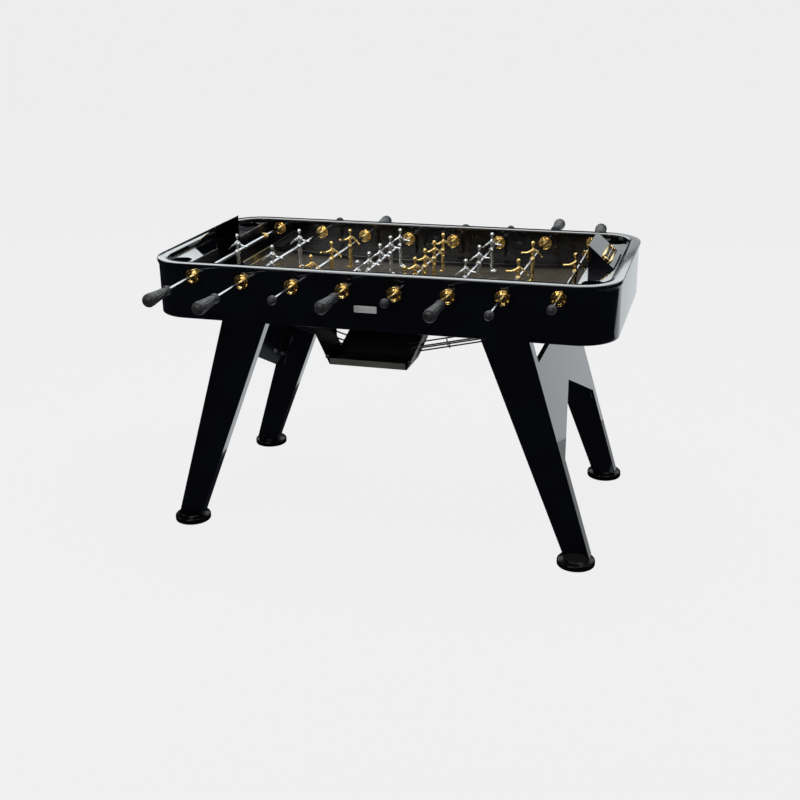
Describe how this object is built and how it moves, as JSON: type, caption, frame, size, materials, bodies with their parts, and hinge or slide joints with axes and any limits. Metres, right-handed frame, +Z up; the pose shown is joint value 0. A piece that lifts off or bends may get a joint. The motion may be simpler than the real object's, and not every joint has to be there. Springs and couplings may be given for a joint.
{
  "type": "foosball table",
  "caption": "Football table: a glossy black steel cabinet on splayed legs, with sliding, turning rods of metal players, score hoods, cup holes and a ball tray underneath.",
  "frame": {"origin": "on the floor, under the middle of the table", "axes": "+X along the table, towards the end that the silver players face; +Y from the front long side, with the name plate and ball tray, to the rear one; +Z up"},
  "size_m": [1.552, 1.456, 0.992],
  "materials": {
    "black_coat": "smooth glossy black coat",
    "field": "smooth satin dark brown-grey sheet",
    "gold_metal": "polished gold-coloured metal",
    "silver_team": "polished cast silver-coloured metal",
    "rod_chrome": "polished bright rod",
    "grip": "satin black moulded, ribbed",
    "sleeve": "smooth gold-coloured bushing",
    "foot_black": "glossy black, rounded edge",
    "wire": "black coated wire",
    "marker": "satin metal",
    "bolt": "dark plated",
    "badge": "blank satin plate with a dark border"
  },
  "bodies": {
    "table": {"cabinet_shell": "black_coat", "top_rim": "black_coat", "playfield": "field", "side_strips": "black_coat", "left_deck": "black_coat", "right_deck": "black_coat", "goal_walls": "black_coat", "left_score_hood": "black_coat", "right_score_hood": "black_coat", "score_frames": "gold_metal", "bearing_flanges": "gold_metal", "flange_screws": "gold_metal", "subframe": "black_coat", "front_left_leg": "black_coat", "front_right_leg": "black_coat", "rear_left_leg": "black_coat", "rear_right_leg": "black_coat", "left_end_plate": "black_coat", "right_end_plate": "black_coat", "feet": "foot_black", "ball_tray": "black_coat", "ball_rails": "wire", "name_plate": "badge", "frame_bolts": "bolt"},
    "left_marker": {"left_score_marker": "marker"},
    "right_marker": {"right_score_marker": "marker"},
    "bush_1": {"sleeves_1": "sleeve"},
    "player_rod_1": {"rod_1": "rod_chrome", "players_1": "silver_team", "grips_1": "grip", "stop_ring_1": "gold_metal"},
    "bush_2": {"sleeves_2": "sleeve"},
    "player_rod_2": {"rod_2": "rod_chrome", "players_2": "silver_team", "grips_2": "grip"},
    "bush_3": {"sleeves_3": "sleeve"},
    "player_rod_3": {"rod_3": "rod_chrome", "players_3": "gold_metal", "grips_3": "grip"},
    "bush_4": {"sleeves_4": "sleeve"},
    "player_rod_4": {"rod_4": "rod_chrome", "players_4": "silver_team", "grips_4": "grip"},
    "bush_5": {"sleeves_5": "sleeve"},
    "player_rod_5": {"rod_5": "rod_chrome", "players_5": "gold_metal", "grips_5": "grip"},
    "bush_6": {"sleeves_6": "sleeve"},
    "player_rod_6": {"rod_6": "rod_chrome", "players_6": "silver_team", "grips_6": "grip"},
    "bush_7": {"sleeves_7": "sleeve"},
    "player_rod_7": {"rod_7": "rod_chrome", "players_7": "gold_metal", "grips_7": "grip"},
    "bush_8": {"sleeves_8": "sleeve"},
    "player_rod_8": {"rod_8": "rod_chrome", "players_8": "gold_metal", "grips_8": "grip", "stop_ring_8": "gold_metal"}
  },
  "joints": [
    {"name": "rod_1_spin", "type": "hinge", "parent": "table", "child": "bush_1", "pos_m": [-0.5985, 0, 0.891], "axis": [0, 1, 0], "continuous": true},
    {"name": "rod_1_slide", "type": "slide", "parent": "bush_1", "child": "player_rod_1", "axis": [0, 1, 0], "range_m": [-0.025, 0.083]},
    {"name": "rod_2_spin", "type": "hinge", "parent": "table", "child": "bush_2", "pos_m": [-0.4275, 0, 0.88169], "axis": [0, 1, 0], "continuous": true},
    {"name": "rod_2_slide", "type": "slide", "parent": "bush_2", "child": "player_rod_2", "axis": [0, 1, 0], "range_m": [-0.169, 0.159]},
    {"name": "rod_3_spin", "type": "hinge", "parent": "table", "child": "bush_3", "pos_m": [-0.2565, 0, 0.87549], "axis": [0, 1, 0], "continuous": true},
    {"name": "rod_3_slide", "type": "slide", "parent": "bush_3", "child": "player_rod_3", "axis": [0, 1, 0], "range_m": [-0.124, 0.124]},
    {"name": "rod_4_spin", "type": "hinge", "parent": "table", "child": "bush_4", "pos_m": [-0.0855, 0, 0.87239], "axis": [0, 1, 0], "continuous": true},
    {"name": "rod_4_slide", "type": "slide", "parent": "bush_4", "child": "player_rod_4", "axis": [0, 1, 0], "range_m": [-0.077, 0.045]},
    {"name": "rod_5_spin", "type": "hinge", "parent": "table", "child": "bush_5", "pos_m": [0.0855, 0, 0.87239], "axis": [0, 1, 0], "continuous": true},
    {"name": "rod_5_slide", "type": "slide", "parent": "bush_5", "child": "player_rod_5", "axis": [0, 1, 0], "range_m": [-0.039, 0.083]},
    {"name": "rod_6_spin", "type": "hinge", "parent": "table", "child": "bush_6", "pos_m": [0.2565, 0, 0.87549], "axis": [0, 1, 0], "continuous": true},
    {"name": "rod_6_slide", "type": "slide", "parent": "bush_6", "child": "player_rod_6", "axis": [0, 1, 0], "range_m": [-0.177, 0.071]},
    {"name": "rod_7_spin", "type": "hinge", "parent": "table", "child": "bush_7", "pos_m": [0.4275, 0, 0.88169], "axis": [0, 1, 0], "continuous": true},
    {"name": "rod_7_slide", "type": "slide", "parent": "bush_7", "child": "player_rod_7", "axis": [0, 1, 0], "range_m": [-0.159, 0.169]},
    {"name": "rod_8_spin", "type": "hinge", "parent": "table", "child": "bush_8", "pos_m": [0.5985, 0, 0.891], "axis": [0, 1, 0], "continuous": true},
    {"name": "rod_8_slide", "type": "slide", "parent": "bush_8", "child": "player_rod_8", "axis": [0, 1, 0], "range_m": [-0.002, 0.106]},
    {"name": "left_score_slide", "type": "slide", "parent": "table", "child": "left_marker", "axis": [0, 1, 0], "range_m": [-0.066, 0.066]},
    {"name": "right_score_slide", "type": "slide", "parent": "table", "child": "right_marker", "axis": [0, 1, 0], "range_m": [-0.066, 0.066]}
  ]
}
